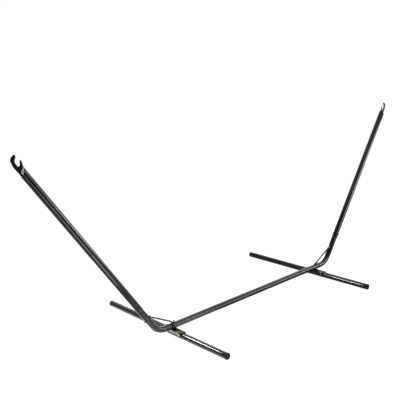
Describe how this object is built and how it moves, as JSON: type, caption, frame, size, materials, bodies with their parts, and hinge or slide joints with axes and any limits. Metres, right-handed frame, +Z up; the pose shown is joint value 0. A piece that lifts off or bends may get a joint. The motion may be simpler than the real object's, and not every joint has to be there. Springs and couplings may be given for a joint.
{
  "type": "hammock stand",
  "caption": "Free-standing steel hammock stand: low straight beam on two cross feet, bent up at both ends into long sloping arms with hooks.",
  "frame": {"origin": "on the ground, at the middle of the four foot caps", "axes": "+X along the beam towards the right-hand hook, +Y along the feet towards their longer ends, +Z up"},
  "size_m": [3.4872, 1.2, 1.3144],
  "materials": {
    "powder_coat": "semi-gloss black powder coat with a fine orange-peel texture",
    "black_plastic": "moulded black plastic, satin",
    "pale_plastic": "unpigmented moulded plastic, satin",
    "hook_coating": "dipped black vinyl over steel",
    "black_steel": "blackened bolt steel",
    "zinc": "bright zinc plate"
  },
  "bodies": {
    "frame": {"centre_beam": "powder_coat", "left_bend_tube": "powder_coat", "left_arm_tube": "powder_coat", "left_brace_rod": "powder_coat", "left_main_bolt": "black_steel", "left_main_washer": "zinc", "left_brace_bolt": "zinc", "left_brace_nut": "zinc", "left_joint_bolt": "black_steel", "left_joint_nut": "zinc", "left_hook": "hook_coating", "left_arm_plug": "pale_plastic", "right_bend_tube": "powder_coat", "right_arm_tube": "powder_coat", "right_brace_rod": "powder_coat", "right_main_bolt": "black_steel", "right_main_washer": "zinc", "right_brace_bolt": "zinc", "right_brace_nut": "zinc", "right_joint_bolt": "black_steel", "right_joint_nut": "zinc", "right_hook": "hook_coating", "right_arm_plug": "pale_plastic"},
    "left_foot": {"left_foot_tube": "powder_coat", "left_saddle": "powder_coat", "left_main_nut": "zinc", "left_front_foot_cap": "black_plastic", "left_front_saddle_bolt": "zinc", "left_front_saddle_nut": "zinc", "left_rear_foot_cap": "black_plastic", "left_rear_saddle_bolt": "zinc", "left_rear_saddle_nut": "zinc"},
    "right_foot": {"right_foot_tube": "powder_coat", "right_saddle": "powder_coat", "right_main_nut": "zinc", "right_front_foot_cap": "black_plastic", "right_front_saddle_bolt": "zinc", "right_front_saddle_nut": "zinc", "right_rear_foot_cap": "black_plastic", "right_rear_saddle_bolt": "zinc", "right_rear_saddle_nut": "zinc"}
  },
  "joints": [
    {"name": "left_foot_turn", "type": "hinge", "parent": "frame", "child": "left_foot", "pos_m": [-0.7515, -0.108, 0.0678], "axis": [0, 0, -1], "range_deg": [0, 90]},
    {"name": "right_foot_turn", "type": "hinge", "parent": "frame", "child": "right_foot", "pos_m": [0.7515, -0.108, 0.0678], "axis": [0, 0, 1], "range_deg": [0, 90]}
  ]
}
